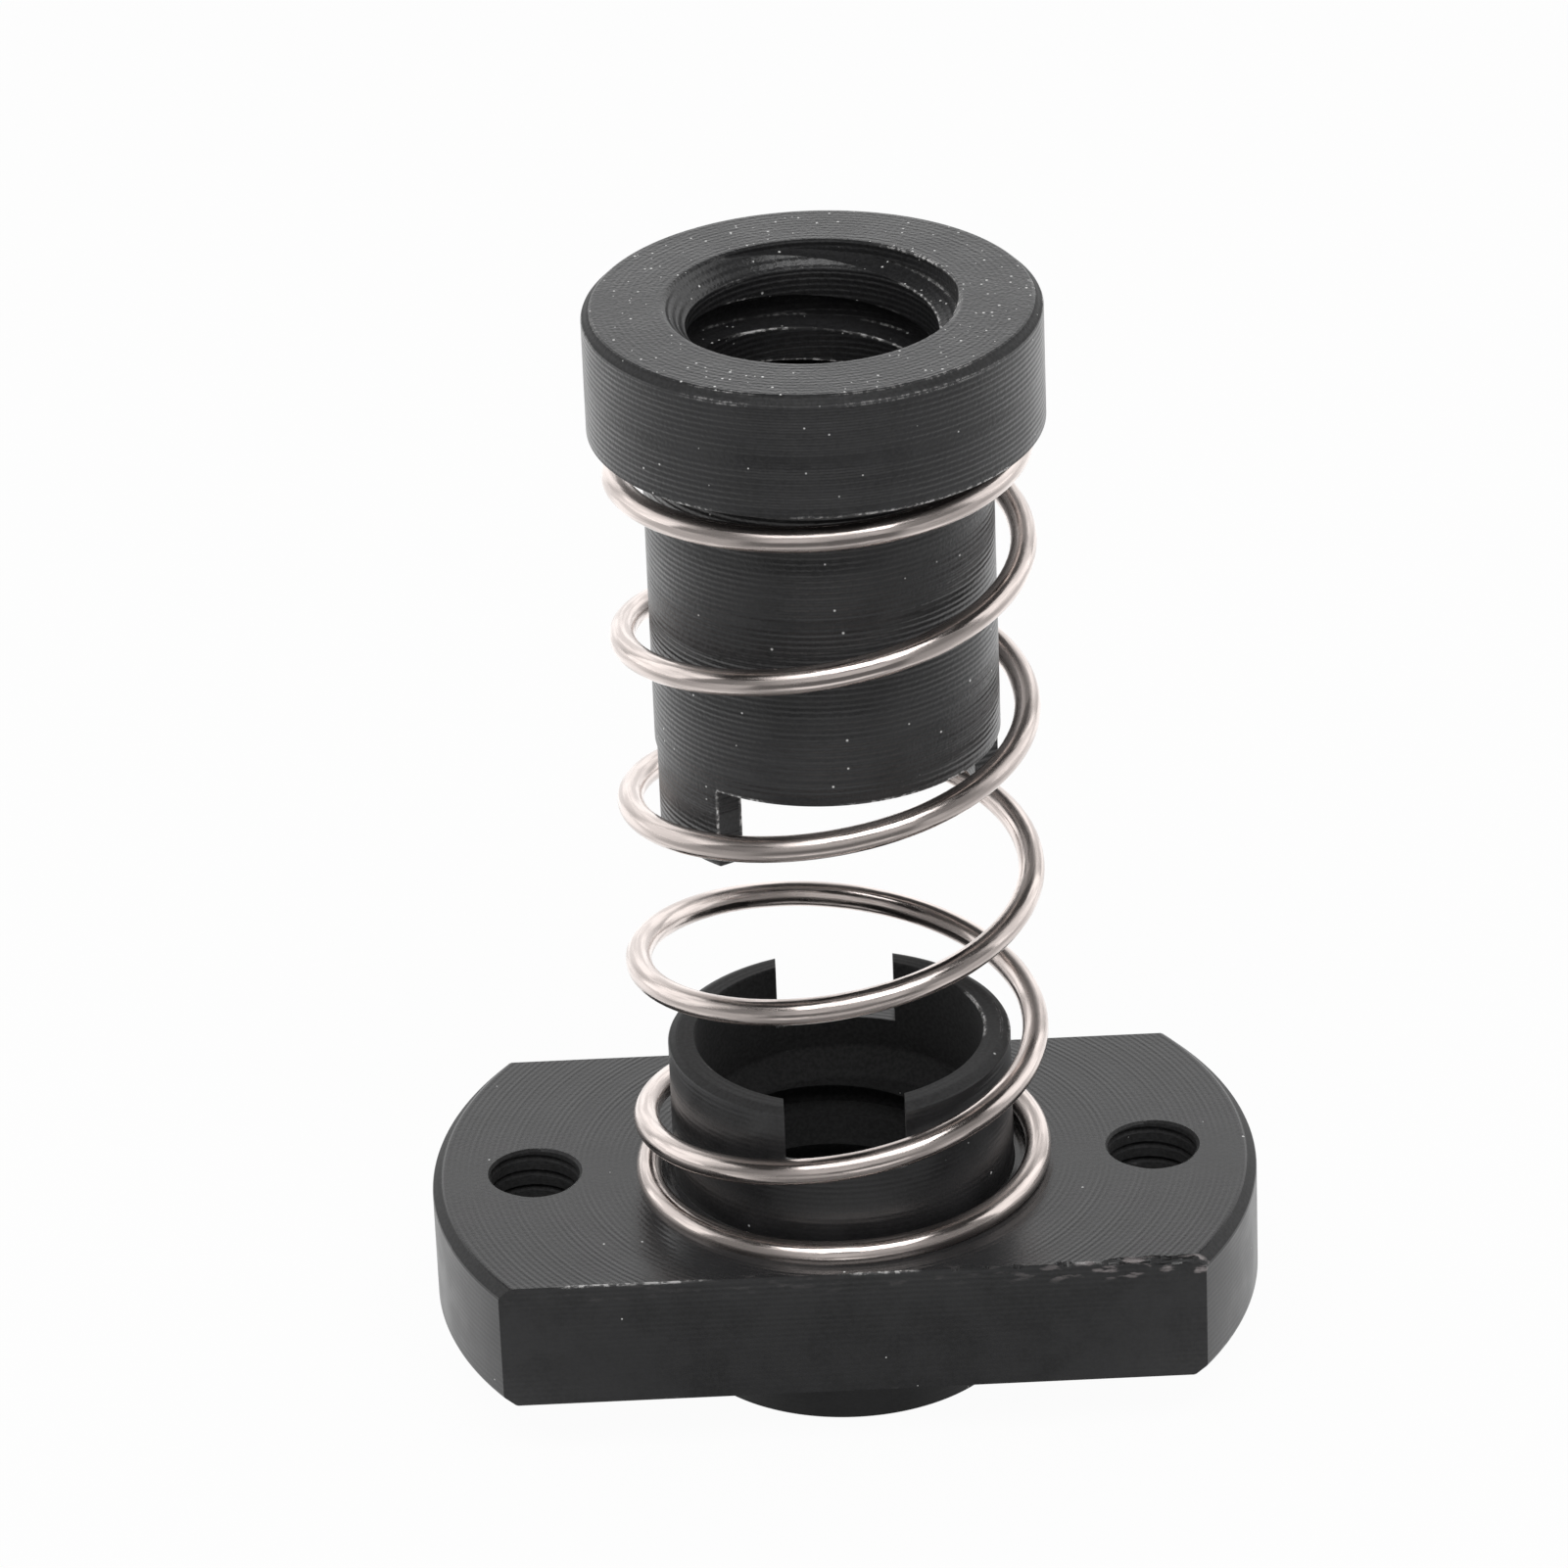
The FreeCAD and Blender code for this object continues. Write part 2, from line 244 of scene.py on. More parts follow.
def turned_solid(corners, edge_break, steps=TURNING_STEPS):
    """Half section spun once round the screw axis, with a small break on each corner."""
    bm = bmesh.new()
    outline_loop(bm, corners)
    bmesh.ops.contextual_create(bm, geom=bm.edges[:])
    if edge_break:
        bmesh.ops.bevel(
            bm, geom=bm.verts[:], offset=edge_break, offset_type="OFFSET", segments=1,
            profile=0.5, affect="VERTICES", material=-1,
        )
    bmesh.ops.delete(bm, geom=bm.faces[:], context="FACES_ONLY")
    bmesh.ops.spin(
        bm, geom=bm.verts[:] + bm.edges[:], cent=(0, 0, 0), axis=UP, angle=math.tau,
        steps=steps, use_merge=True,
    )
    bmesh.ops.recalc_face_normals(bm, faces=bm.faces[:])
    return bm


def helical_ridge(corners, start, pitch, turns, steps_per_turn, start_angle=0.0):
    """Closed section carried up a right-hand helix: what cuts a thread's groove."""
    bm = bmesh.new()
    loop = outline_loop(bm, [(radius, height + start) for radius, height in corners])
    bmesh.ops.rotate(
        bm, verts=bm.verts[:], cent=(0, 0, 0), matrix=Matrix.Rotation(start_angle, 3, "Z"),
    )
    steps = math.ceil(turns * steps_per_turn)
    spun = bmesh.ops.spin(
        bm, geom=loop, cent=(0, 0, 0), axis=UP, dvec=(0, 0, pitch / steps_per_turn),
        angle=math.tau * steps / steps_per_turn, steps=steps,
    )
    ends = [item for item in spun["geom_last"] if isinstance(item, bmesh.types.BMEdge)]
    starts = [item for item in loop if isinstance(item, bmesh.types.BMEdge)]
    for edges in (starts, ends):
        bmesh.ops.contextual_create(bm, geom=edges)
    bmesh.ops.recalc_face_normals(bm, faces=bm.faces[:])
    return bm


def box_between(low, high):
    """Block between two corners."""
    bm = bmesh.new()
    bmesh.ops.create_cube(bm, size=1)
    bmesh.ops.scale(bm, vec=high - low, verts=bm.verts[:])
    bmesh.ops.translate(bm, vec=(low + high) / 2, verts=bm.verts[:])
    return bm


def mesh_object(name, bm):
    """Object at the origin that holds a finished bmesh."""
    mesh = bpy.data.meshes.new(name)
    bm.to_mesh(mesh)
    bm.free()
    piece = bpy.data.objects.new(name, mesh)
    bpy.context.scene.collection.objects.link(piece)
    return piece


def cut(piece, *cutters):
    """Take each cutter's solid out of the piece, and leave a plain mesh."""
    for bm in cutters:
        tool = mesh_object("cutter", bm)
        boolean = piece.modifiers.new("cut", "BOOLEAN")
        boolean.operation = "DIFFERENCE"
        boolean.solver = "EXACT"
        boolean.object = tool
        depsgraph = bpy.context.evaluated_depsgraph_get()
        result = bpy.data.meshes.new_from_object(piece.evaluated_get(depsgraph))
        piece.modifiers.clear()
        spent = piece.data
        piece.data = result
        bpy.data.meshes.remove(spent)
        bpy.data.meshes.remove(tool.data)
    piece.data.name = piece.name


def tidy_mesh(piece, sharp_degrees=8):
    """Weld the cuts, turn faces outward, and shade smoothly apart from sharp edges and flat planes."""
    bm = bmesh.new()
    bm.from_mesh(piece.data)
    bmesh.ops.remove_doubles(bm, verts=bm.verts[:], dist=WELD)
    bmesh.ops.dissolve_degenerate(bm, edges=bm.edges[:], dist=WELD)
    bmesh.ops.recalc_face_normals(bm, faces=bm.faces[:])
    open_edges = sum(1 for edge in bm.edges if not edge.is_manifold)
    bm.to_mesh(piece.data)
    bm.free()
    print(f"{piece.name}: {len(piece.data.polygons)} faces, {open_edges} open edges")
    piece.data.shade_smooth()
    piece.data.set_sharp_from_angle(angle=math.radians(sharp_degrees))
    for face in piece.data.polygons:
        face.use_smooth = max(abs(face.normal.y), abs(face.normal.z)) < PLANE


def finish_piece(piece, node, material):
    """Give the piece its finish, and let it stand for its node on its body."""
    piece.data.materials.clear()
    piece.data.materials.append(material)
    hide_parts(node)
    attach(piece, node)


def screw_groove(bottom, top, start_angle):
    """What cuts the lead screw thread from below one height to above another."""
    thread = settings().thread
    crest = MOUNTS["sliding_nut_thread"]["dims"]["r_mm"] * MM
    inner = crest - SCREW_CUTTER_DEPTH
    root = thread.root_diameter / 2
    slope = math.tan(thread.flank_angle)
    wide = thread.crest_gap / 2 + (crest - inner) * slope
    narrow = thread.crest_gap / 2 - (root - crest) * slope
    corners = [(inner, -wide), (root, -narrow), (root, narrow), (inner, wide)]
    turns = (top - bottom) / thread.pitch + 2
    return helical_ridge(
        corners, bottom - thread.pitch, thread.pitch, turns, THREAD_STEPS, start_angle,
    )


def flange_nut_solid(size, thread):
    """Boss, flange and socket turned in one piece, then milled flat on both sides."""
    crest = MOUNTS["flange_nut_thread"]["dims"]["r_mm"] * MM
    mouth = thread.mouth_diameter / 2
    flange = FLANGE_HIGH.x
    flange_bottom = size.boss_height
    flange_top = SPRING_LOW.z
    top = FLANGE_HIGH.z
    floor = top - size.socket_depth
    chamfer = size.edge_chamfer
    bm = turned_solid([
        (mouth, 0),
        (size.boss_diameter / 2, 0),
        (size.boss_diameter / 2, flange_bottom),
        (flange - chamfer, flange_bottom),
        (flange, flange_bottom + chamfer),
        (flange, flange_top - chamfer),
        (flange - chamfer, flange_top),
        (size.socket_diameter / 2, flange_top),
        (size.socket_diameter / 2, top - size.rim_drop),
        (size.socket_diameter / 2 - size.rim_width, top),
        (size.socket_bore / 2, top),
        (size.socket_bore / 2, floor),
        (crest, floor - (size.socket_bore / 2 - crest)),
        (crest, mouth - crest),
    ], thread.edge_break)
    for side in (-1, 1):
        bmesh.ops.bisect_plane(
            bm, geom=bm.verts[:] + bm.edges[:] + bm.faces[:], dist=WELD,
            plane_co=(0, side * FLANGE_HIGH.y, 0), plane_no=(0, side, 0), clear_outer=True,
        )
        bmesh.ops.holes_fill(bm, edges=[edge for edge in bm.edges if edge.is_boundary])
    return bm


def worn_edge_cutters():
    """What breaks the flange's front top edge: a ragged bevel near its end and small chips."""
    cutters = []
    for seed, (start, end, depth) in enumerate(EDGE_WEAR):
        bm = bmesh.new()
        bmesh.ops.create_grid(bm, x_segments=WEAR_CELLS, y_segments=WEAR_CELLS, size=0.5)
        ragged = random.Random(seed)
        for vert in bm.verts:
            # The cut runs out at both its ends, and is rough all over.
            rough = 2 * abs(2 * vert.co.x) ** 5 + ragged.uniform(-0.5, 0.4)
            vert.co = ((start + end) / 2 + vert.co.x * (end - start), vert.co.y, rough * depth)
        raised = bmesh.ops.extrude_face_region(bm, geom=bm.faces[:])["geom"]
        for vert in raised:
            if isinstance(vert, bmesh.types.BMVert):
                vert.co.z = WEAR_HEIGHT
        bmesh.ops.scale(bm, vec=(MM, MM, MM), verts=bm.verts[:])
        lean = Matrix.Rotation(WEAR_LEAN, 3, "X")
        bmesh.ops.rotate(bm, verts=bm.verts[:], cent=(0, 0, 0), matrix=lean)
        # The edge is moved in and down at 45 degrees by about the depth.
        inward = Vector((0, 0.7, -0.7)) * depth * MM
        edge = Vector((0, -FLANGE_HIGH.y, SPRING_LOW.z))
        bmesh.ops.translate(bm, vec=edge + inward, verts=bm.verts[:])
        bmesh.ops.recalc_face_normals(bm, faces=bm.faces[:])
        cutters.append(bm)
    return cutters


def tapped_hole_cutters(size, thread, side):
    """What drills, leads in and taps one of the flange's two holes."""
    place = Vector((side * HOLES["dims"]["spacing_x_mm"] / 2 * MM, 0, 0))
    radius = HOLES["dims"]["hole_r_mm"] * MM
    mouth = size.hole_mouth / 2
    top = SPRING_LOW.z
    drill = turned_solid([
        (0, size.boss_height - CUT_MARGIN),
        (radius, size.boss_height - CUT_MARGIN),
        (radius, top - (mouth - radius)),
        (mouth + CUT_MARGIN, top + CUT_MARGIN),
        (0, top + CUT_MARGIN),
    ], 0, steps=DRILL_STEPS)
    bmesh.ops.remove_doubles(drill, verts=drill.verts[:], dist=WELD)
    # The edge along the drill's own axis is left without faces.
    bmesh.ops.delete(drill, geom=[edge for edge in drill.edges if edge.is_wire], context="EDGES")
    bmesh.ops.recalc_face_normals(drill, faces=drill.faces[:])
    root = size.tap_root / 2
    inner = radius - TAP_CUTTER_DEPTH
    narrow = size.tap_pitch / 16
    wide = (root - inner) * math.tan(TAP_FLANK) + narrow
    corners = [(inner, -wide), (root, -narrow), (root, narrow), (inner, wide)]
    turns = (top - size.boss_height) / size.tap_pitch + 2
    tap = helical_ridge(
        corners, size.boss_height - size.tap_pitch, size.tap_pitch, turns, TAP_STEPS,
    )
    for bm in (drill, tap):
        bmesh.ops.translate(bm, vec=place, verts=bm.verts[:])
    return [drill, tap]


class NUT_OT_flange_nut(bpy.types.Operator):
    """Build the flange nut with its slots, lead screw thread and tapped holes"""
    bl_idname = "lead_screw_nut.flange_nut"
    bl_label = "Flange nut"

    def execute(self, context):
        size = settings().flange_nut
        thread = settings().thread
        piece = mesh_object("flange_nut_turned", flange_nut_solid(size, thread))
        reach = size.socket_diameter / 2 + CUT_MARGIN
        slots = box_between(
            Vector((-size.slot_width / 2, -reach, FLANGE_HIGH.z - size.slot_depth)),
            Vector((size.slot_width / 2, reach, FLANGE_HIGH.z + CUT_MARGIN)),
        )
        groove = screw_groove(0, FLANGE_HIGH.z - size.socket_depth, FLANGE_THREAD_START)
        cut(piece, slots, groove)
        for side in (-1, 1):
            cut(piece, *tapped_hole_cutters(size, thread, side))
        cut(piece, *worn_edge_cutters())
        tidy_mesh(piece)
        finish_piece(piece, "flange_nut", plastic(
            "flange_nut_plastic",
            dust={"On top": 0.012, "On sides": 0.012},
            marks={"Wall": 0.12, "Bore": 0.15, "Face": 0.16},
            # The bores take painted shade, and the cut edges a painted highlight with their burrs.
            grain_height=0.08, burr_and_highlight_share=0.25, bore_painted_shade=0.35, inner_roughness=0.85, scuffed=True,
        ))
        return {"FINISHED"}


class NUT_OT_sliding_nut(bpy.types.Operator):
    """Build the sliding nut with its collar, tongues and lead screw thread"""
    bl_idname = "lead_screw_nut.sliding_nut"
    bl_label = "Sliding nut"

    def execute(self, context):
        size = settings().sliding_nut
        thread = settings().thread
        crest = MOUNTS["sliding_nut_thread"]["dims"]["r_mm"] * MM
        mouth = thread.mouth_diameter / 2
        end_bore = size.end_bore / 2
        barrel = size.barrel_diameter / 2
        collar = SLIDING_HIGH.x
        low = SLIDING_LOW.z
        end = low + size.tongue_length
        top = SLIDING_HIGH.z
        collar_bottom = top - size.collar_thickness
        piece = mesh_object("sliding_nut_turned", turned_solid([
            (end_bore, low),
            (barrel, low),
            (barrel, collar_bottom),
            (collar, collar_bottom),
            (collar, top - size.edge_chamfer),
            (collar - size.edge_chamfer, top),
            (mouth, top),
            (crest, top - (mouth - crest)),
            (crest, end + size.bore_rise + end_bore - crest),
            (end_bore, end + size.bore_rise),
        ], thread.edge_break))
        cutters = []
        for side in (-1, 1):
            near = side * size.tongue_width / 2
            far = side * (barrel + CUT_MARGIN)
            mill = box_between(
                Vector((min(near, far), -barrel - CUT_MARGIN, low - CUT_MARGIN)),
                Vector((max(near, far), barrel + CUT_MARGIN, end)),
            )
            bmesh.ops.rotate(
                mill, verts=mill.verts[:], cent=(0, 0, 0), matrix=Matrix.Rotation(size.rest_turn, 3, "Z"),
            )
            cutters.append(mill)
        cutters.append(screw_groove(end + size.bore_rise, top, SLIDING_THREAD_START))
        cut(piece, *cutters)
        tidy_mesh(piece)
        finish_piece(piece, "sliding_nut", plastic(
            "sliding_nut_plastic",
            dust={"On top": 0.45, "On sides": 0.06},
            marks={"Wall": 1, "Bore": 0.8, "Face": 0.2},
            # The bores take painted shade, and the cut edges a painted highlight with their burrs.
            grain_height=0.5, burr_and_highlight_share=0.6, bore_painted_shade=0.7, inner_roughness=0.34,
        ))
        return {"FINISHED"}


def smooth_rise(share):
    """How far a slope that swells smoothly from 0 to 1 has climbed by this share of the blend."""
    if share <= 0:
        return 0.0
    if share >= 1:
        return share - 0.5
    return share ** 3 - share ** 4 / 2


def wire_centre(size, turns):
    """Middle of the wire after so many turns of a right-hand helix, closed at both ends."""
    start = SPRING_LOW.z + size.bottom_tip - size.wire_diameter / 2
    end = SPRING_HIGH.z - size.top_tip + size.wire_diameter / 2
    closed_rise = size.bottom_closed_turns * size.bottom_pitch + size.top_closed_turns * size.top_pitch
    active_turns = size.turns - size.bottom_closed_turns - size.top_closed_turns
    active_pitch = (end - start - closed_rise) / active_turns
    blend = size.blend_turns
    opens = size.bottom_closed_turns - blend / 2
    closes = size.turns - size.top_closed_turns - blend / 2
    height = start + size.bottom_pitch * turns
    height += (active_pitch - size.bottom_pitch) * blend * smooth_rise((turns - opens) / blend)
    height -= (active_pitch - size.top_pitch) * blend * smooth_rise((turns - closes) / blend)
    radius = SPRING_HIGH.x - size.wire_diameter / 2
    around = size.start_angle + math.tau * turns
    return Vector((radius * math.cos(around), radius * math.sin(around), height))


def wire_frame(size, turns):
    """Middle of the wire's section, and its outward and upward directions."""
    short = 0.0001
    centre = wire_centre(size, turns)
    along = (wire_centre(size, turns + short) - wire_centre(size, turns - short)).normalized()
    outward = Vector((centre.x, centre.y, 0)).normalized()
    upward = along.cross(outward).normalized()
    return centre, outward, upward


class NUT_OT_spring(bpy.types.Operator):
    """Wind the spring from round wire and grind its ends flat"""
    bl_idname = "lead_screw_nut.spring"
    bl_label = "Spring"

    def execute(self, context):
        size = settings().spring
        bm = bmesh.new()
        bm.loops.layers.uv.new("wire")
        steps = math.ceil(size.turns * WIRE_STEPS)
        bmesh.ops.create_grid(bm, x_segments=steps, y_segments=WIRE_SIDES, size=0.5, calc_uvs=True)
        for vert in bm.verts:
            along = (vert.co.x + 0.5) * (size.turns + size.bottom_run_out) - size.bottom_run_out
            centre, outward, upward = wire_frame(size, along)
            around = (vert.co.y + 0.5) * math.tau
            spoke = outward * math.cos(around) + upward * math.sin(around)
            vert.co = centre + spoke * size.wire_diameter / 2
        bmesh.ops.remove_doubles(bm, verts=bm.verts[:], dist=WELD)
        bmesh.ops.holes_fill(bm, edges=[edge for edge in bm.edges if edge.is_boundary])
        for height, side in ((SPRING_LOW.z, -1), (SPRING_HIGH.z, 1)):
            bmesh.ops.bisect_plane(
                bm, geom=bm.verts[:] + bm.edges[:] + bm.faces[:], dist=WELD / 10,
                plane_co=(0, 0, height), plane_no=(0, 0, side), clear_outer=True,
            )
            bmesh.ops.holes_fill(bm, edges=[edge for edge in bm.edges if edge.is_boundary])
        piece = mesh_object("spring_wire", bm)
        tidy_mesh(piece, sharp_degrees=40)
        finish_piece(piece, "spring", wire_steel())
        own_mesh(piece)
        return {"FINISHED"}


def add_node(tree, kind, **values):
    """Node of one kind with its options set."""
    node = tree.nodes.new(kind)
    for name, value in values.items():
        setattr(node, name, value)
    return node


def feed(tree, socket, value):
    """Join a socket to another, or set its value."""
    if isinstance(value, bpy.types.NodeSocket):
        tree.links.new(value, socket)
    else:
        socket.default_value = value


def calculate(tree, operation, *values):
    """Result of one Math node."""
    node = add_node(tree, "ShaderNodeMath", operation=operation)
    for socket, value in zip(node.inputs, values):
        feed(tree, socket, value)
    return node.outputs[0]


def distance(tree, across, along):
    """How far off a point is that lies so far across and so far along."""
    squares = calculate(tree, "POWER", across, 2)
    squares = calculate(tree, "ADD", squares, calculate(tree, "POWER", along, 2))
    return calculate(tree, "SQRT", squares)


def parts(tree, vector):
    """The three parts of a vector."""
    node = add_node(tree, "ShaderNodeSeparateXYZ")
    feed(tree, node.inputs[0], vector)
    return node.outputs


def object_place(tree):
    """Where a point lies in the part's own frame."""
    return add_node(tree, "ShaderNodeTexCoord").outputs["Object"]


def flat_normal(tree):
    """Which way the real face points, without smoothing."""
    return add_node(tree, "ShaderNodeNewGeometry").outputs["True Normal"]


def spread(tree, value, low, high, to_low=0.0, to_high=1.0):
    """Value carried smoothly from one range to another, and held at its ends."""
    node = add_node(tree, "ShaderNodeMapRange", interpolation_type="SMOOTHSTEP")
    for socket, given in zip(node.inputs, (value, low, high, to_low, to_high)):
        feed(tree, socket, given)
    return node.outputs[0]


def choose(tree, share, first, second):
    """First value at 0 and second at 1."""
    node = add_node(tree, "ShaderNodeMix", data_type="FLOAT")
    feed(tree, node.inputs[0], share)
    feed(tree, node.inputs[2], first)
    feed(tree, node.inputs[3], second)
    return node.outputs[0]


def blend_colours(tree, share, first, second):
    """First colour at 0 and second at 1."""
    node = add_node(tree, "ShaderNodeMix", data_type="RGBA")
    feed(tree, node.inputs[0], share)
    feed(tree, node.inputs[6], first)
    feed(tree, node.inputs[7], second)
    return node.outputs[2]


def noise(tree, place, scale, detail=3, stretch=None):
    """Noise over a place, stretched by three factors if they are given."""
    if stretch:
        mapping = add_node(tree, "ShaderNodeMapping")
        feed(tree, mapping.inputs["Vector"], place)
        mapping.inputs["Scale"].default_value = stretch
        place = mapping.outputs[0]
    node = add_node(tree, "ShaderNodeTexNoise")
    feed(tree, node.inputs["Vector"], place)
    feed(tree, node.inputs["Scale"], scale)
    feed(tree, node.inputs["Detail"], detail)
    return node.outputs[0]


def effect_group(name, inputs, outputs):
    """New node group with its named numbers in and out: the tree, and the ends of both."""
    tree = bpy.data.node_groups.new(name, "ShaderNodeTree")
    for label, value in inputs.items():
        socket = tree.interface.new_socket(name=label, in_out="INPUT", socket_type="NodeSocketFloat")
        socket.default_value = value
    for label in outputs:
        tree.interface.new_socket(name=label, in_out="OUTPUT", socket_type="NodeSocketFloat")
    given = add_node(tree, "NodeGroupInput").outputs
    result = add_node(tree, "NodeGroupOutput").inputs
    return tree, given, result


def surface_way(tree):
    """Place and flat normal at a point, and how far the surface faces away from the screw axis.

    The last is above 0 on outside walls, below 0 in bores and 0 on flat faces.
    """
    place = parts(tree, object_place(tree))
    normal = parts(tree, flat_normal(tree))
    outward = calculate(tree, "MULTIPLY", place[0], normal[0])
    outward = calculate(tree, "MULTIPLY_ADD", place[1], normal[1], outward)
    return place, normal, outward


def turning_marks():
    """Fine rings that a lathe tool leaves, along the axis on walls and outward on faces."""
    tree, given, result = effect_group(
        "turning_marks", {"Pitch": 0.175 * MM, "Wall": 1, "Bore": 0.2, "Face": 0.2}, ["Height", "Crest"],
    )
    place, normal, outward = surface_way(tree)
    radius = distance(tree, place[0], place[1])
    facing = calculate(tree, "GREATER_THAN", calculate(tree, "ABSOLUTE", normal[2]), FACING)
    walls = calculate(tree, "MULTIPLY", place[2], calculate(tree, "SUBTRACT", 1, facing))
    along = calculate(tree, "ADD", walls, calculate(tree, "MULTIPLY", radius, facing))
    turns = calculate(tree, "DIVIDE", along, given["Pitch"])
    wave = calculate(tree, "SINE", calculate(tree, "MULTIPLY", turns, math.tau))
    uneven = add_node(tree, "ShaderNodeTexNoise", noise_dimensions="1D")
    feed(tree, uneven.inputs["W"], turns)
    feed(tree, uneven.inputs["Scale"], 0.31)
    feed(tree, uneven.inputs["Detail"], 3)
    swell = spread(tree, uneven.outputs[0], 0.3, 0.7, 0.2, 0.5)
    height = calculate(tree, "MULTIPLY_ADD", wave, swell, uneven.outputs[0])
    share = choose(tree, calculate(tree, "GREATER_THAN", outward, 0), given["Bore"], given["Wall"])
    share = choose(tree, facing, share, given["Face"])
    feed(tree, result["Height"], calculate(tree, "MULTIPLY", height, share))
    crest = calculate(tree, "MULTIPLY", spread(tree, wave, -0.6, 0.9), share)
    feed(tree, result["Crest"], crest)
    return tree


def dust_specks():
    """Small bright specks, more of them on what faces up."""
    tree, given, result = effect_group(
        "dust_specks", {"Cell": 0.3 * MM, "Radius": 0.12, "On top": 0.3, "On sides": 0.1}, ["Mask"],
    )
    cells = add_node(tree, "ShaderNodeTexVoronoi", voronoi_dimensions="3D", feature="F1")
    feed(tree, cells.inputs["Vector"], object_place(tree))
    feed(tree, cells.inputs["Scale"], calculate(tree, "DIVIDE", 1, given["Cell"]))
    chance = add_node(tree, "ShaderNodeSeparateColor")
    feed(tree, chance.inputs[0], cells.outputs["Color"])
    size = calculate(tree, "MULTIPLY", given["Radius"], spread(tree, chance.outputs[1], 0, 1, 0.45, 1.0))
    inside = spread(tree, calculate(tree, "DIVIDE", cells.outputs["Distance"], size), 0.6, 1.0, 1, 0)
    upward = spread(tree, surface_way(tree)[1][2], 0.6, 0.9)
    amount = choose(tree, upward, given["On sides"], given["On top"])
    picked = calculate(tree, "LESS_THAN", chance.outputs[0], amount)
    feed(tree, result["Mask"], calculate(tree, "MULTIPLY", inside, picked))
    return tree


def edge_burrs_and_highlight():
    """Bright line along the cut edges, partly burrs and partly a painted highlight, strong in places and
    gone in others.
    """
    tree, given, result = effect_group("edge_burrs_and_highlight", {"Width": 0.05 * MM, "Share": 0.5}, ["Mask"])
    rounded = add_node(tree, "ShaderNodeBevel", samples=6)
    feed(tree, rounded.inputs["Radius"], given["Width"])
    likeness = add_node(tree, "ShaderNodeVectorMath", operation="DOT_PRODUCT")
    feed(tree, likeness.inputs[0], rounded.outputs[0])
    feed(tree, likeness.inputs[1], flat_normal(tree))
    edge = spread(tree, likeness.outputs["Value"], 0.997, 0.965)
    place = object_place(tree)
    stretches = noise(tree, place, 260, 1)
    reach = calculate(tree, "MULTIPLY_ADD", given["Share"], -0.4, 0.7)
    strong = spread(tree, stretches, reach, calculate(tree, "ADD", reach, 0.12))
    crumbs = spread(tree, noise(tree, place, 7000, 2), 0.45, 0.6, 0.12, 1)
    mask = calculate(tree, "MULTIPLY", edge, calculate(tree, "MULTIPLY", strong, crumbs))
    feed(tree, result["Mask"], mask)
    return tree


def effect(tree, maker, **values):
    """One placed copy of a shared effect, made on its first use."""
    name = maker.__name__
    group = bpy.data.node_groups.get(name) or maker()
    node = add_node(tree, "ShaderNodeGroup", node_tree=group)
    for label, value in values.items():
        node.inputs[label].default_value = value
    return node.outputs


def empty_material(name):
    """Material with its node tree, principled shader and object coordinates."""
    material = bpy.data.materials.new(name)
    material.use_nodes = True
    tree = material.node_tree
    tree.nodes.clear()
    shader = add_node(tree, "ShaderNodeBsdfPrincipled")
    output = add_node(tree, "ShaderNodeOutputMaterial")
    tree.links.new(shader.outputs[0], output.inputs["Surface"])
    return material, tree, shader, object_place(tree)


def shade(value, share=1.0):
    """Colour made darker or lighter by a share, with full alpha."""
    return (*(part * share for part in value), 1)


def raise_surface(tree, shader, height, strength, depth):
    """Let a height show as a fine relief."""
    bump = add_node(tree, "ShaderNodeBump")
    bump.inputs["Strength"].default_value = strength
    bump.inputs["Distance"].default_value = depth
    feed(tree, bump.inputs["Height"], height)
    feed(tree, shader.inputs["Normal"], bump.outputs[0])


def in_tapped_holes(tree, place):
    """1 on the walls of the flange's two holes."""
    x, y, z = parts(tree, place)
    side = calculate(tree, "ABSOLUTE", x)
    side = calculate(tree, "SUBTRACT", side, HOLES["dims"]["spacing_x_mm"] / 2 * MM)
    near = calculate(tree, "LESS_THAN", distance(tree, side, y), 1.6 * MM)
    below = calculate(tree, "LESS_THAN", z, SPRING_LOW.z - 0.02 * MM)
    return calculate(tree, "MULTIPLY", near, below)


def edge_scuffs(tree, place):
    """1 where the flange's front top edge is rubbed pale, most of all near its right end."""
    x, y, z = parts(tree, place)
    inward = calculate(tree, "ADD", y, FLANGE_HIGH.y)
    # The rub reaches further down the front than in over the top, and is thickest just below the edge.
    below = calculate(tree, "SUBTRACT", z, SPRING_LOW.z)
    below = calculate(tree, "MULTIPLY", calculate(tree, "ADD", below, 0.15 * MM), 0.6)
    near = spread(tree, distance(tree, inward, below), 0.14 * MM, 0.32 * MM, 1, 0)
    towards_end = spread(tree, x, 3.5 * MM, 9 * MM, 0.1, 1)
    patches = spread(tree, noise(tree, place, 4500, 6, (0.35, 1, 1)), 0.54, 0.68)
    return calculate(tree, "MULTIPLY", calculate(tree, "MULTIPLY", near, towards_end), patches)


def on_top_at(tree, place, normal, height):
    """1 on what faces up at one height."""
    level = calculate(tree, "COMPARE", place[2], height, 0.2 * MM)
    return calculate(tree, "MULTIPLY", level, calculate(tree, "GREATER_THAN", normal[2], FACING))


